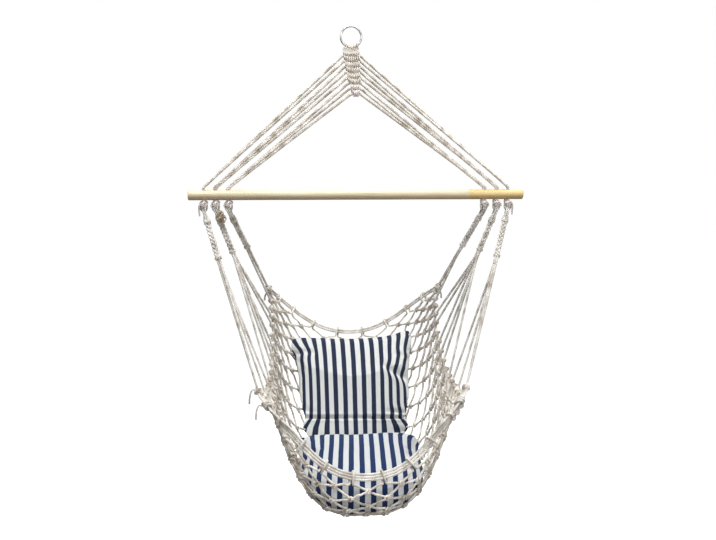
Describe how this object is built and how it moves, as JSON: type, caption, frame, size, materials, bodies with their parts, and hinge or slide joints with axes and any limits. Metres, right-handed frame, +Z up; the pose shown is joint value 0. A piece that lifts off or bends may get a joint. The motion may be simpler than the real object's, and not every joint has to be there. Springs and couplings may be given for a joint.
{
  "type": "hammock chair",
  "caption": "Hanging hammock chair: steel ring, woven cord crown, wooden spreader bar, plaited legs, knotted rope net between rope rims, and loose striped seat and back cushions.",
  "frame": {"origin": "top of the hole in the hanging ring, where a hook bears on the wire", "axes": "+Z up, +X along the spreader bar to the sitter's left, -Y the way the sitter faces"},
  "size_m": [1, 0.6524, 1.4032],
  "materials": {
    "steel": "bright smooth steel wire",
    "cotton": "off-white twisted cotton rope, matt",
    "twine": "thin off-white binding twine, matt",
    "pine": "pale turned pine, satin",
    "canvas": "cotton canvas with blue and off-white stripes, matt"
  },
  "bodies": {
    "ring": {"hanging_ring": "steel"},
    "crown_and_bar": {"crown_core": "cotton", "crown_band_1": "cotton", "crown_band_2": "cotton", "crown_band_3": "cotton", "crown_band_4": "cotton", "crown_band_5": "cotton", "crown_band_6": "cotton", "crown_band_7": "cotton", "crown_band_8": "cotton", "upper_cords_left_front": "cotton", "upper_cords_left_middle": "cotton", "upper_cords_left_back": "cotton", "upper_cords_right_front": "cotton", "upper_cords_right_middle": "cotton", "upper_cords_right_back": "cotton", "spreader_bar": "pine", "bar_knot_left_front": "cotton", "bar_knot_left_middle": "cotton", "bar_knot_left_back": "cotton", "bar_knot_right_front": "cotton", "bar_knot_right_middle": "cotton", "bar_knot_right_back": "cotton"},
    "sling": {"leg_left_front": "cotton", "whipping_upper_left_front": "twine", "whipping_lower_left_front": "twine", "fan_left_front": "cotton", "leg_left_middle": "cotton", "whipping_upper_left_middle": "twine", "whipping_lower_left_middle": "twine", "fan_left_middle": "cotton", "leg_left_back": "cotton", "whipping_upper_left_back": "twine", "whipping_lower_left_back": "twine", "fan_left_back": "cotton", "leg_right_front": "cotton", "whipping_upper_right_front": "twine", "whipping_lower_right_front": "twine", "fan_right_front": "cotton", "leg_right_middle": "cotton", "whipping_upper_right_middle": "twine", "whipping_lower_right_middle": "twine", "fan_right_middle": "cotton", "leg_right_back": "cotton", "whipping_upper_right_back": "twine", "whipping_lower_right_back": "twine", "fan_right_back": "cotton", "back_rim": "cotton", "front_rim": "cotton", "net_back": "cotton", "net_seat": "cotton", "net_front": "cotton", "net_left_wall": "cotton", "net_right_wall": "cotton"},
    "seat_pad": {"seat_cushion": "canvas"},
    "back_pad": {"back_cushion": "canvas"}
  },
  "joints": [
    {"name": "ring_swing", "type": "hinge", "parent": "ring", "child": "crown_and_bar", "pos_m": [0, 0, -0.057], "axis": [1, 0, 0], "range_deg": [-20, 20]},
    {"name": "sling_swing", "type": "hinge", "parent": "crown_and_bar", "child": "sling", "pos_m": [0.02, 0, -0.5313], "axis": [1, 0, 0], "range_deg": [-20, 20]},
    {"name": "seat_cushion_lift", "type": "slide", "parent": "sling", "child": "seat_pad", "axis": [0, 0.342, 0.9397], "range_m": [0, 0.25]},
    {"name": "back_cushion_lift", "type": "slide", "parent": "sling", "child": "back_pad", "axis": [0, 0.342, 0.9397], "range_m": [0, 0.25]}
  ]
}
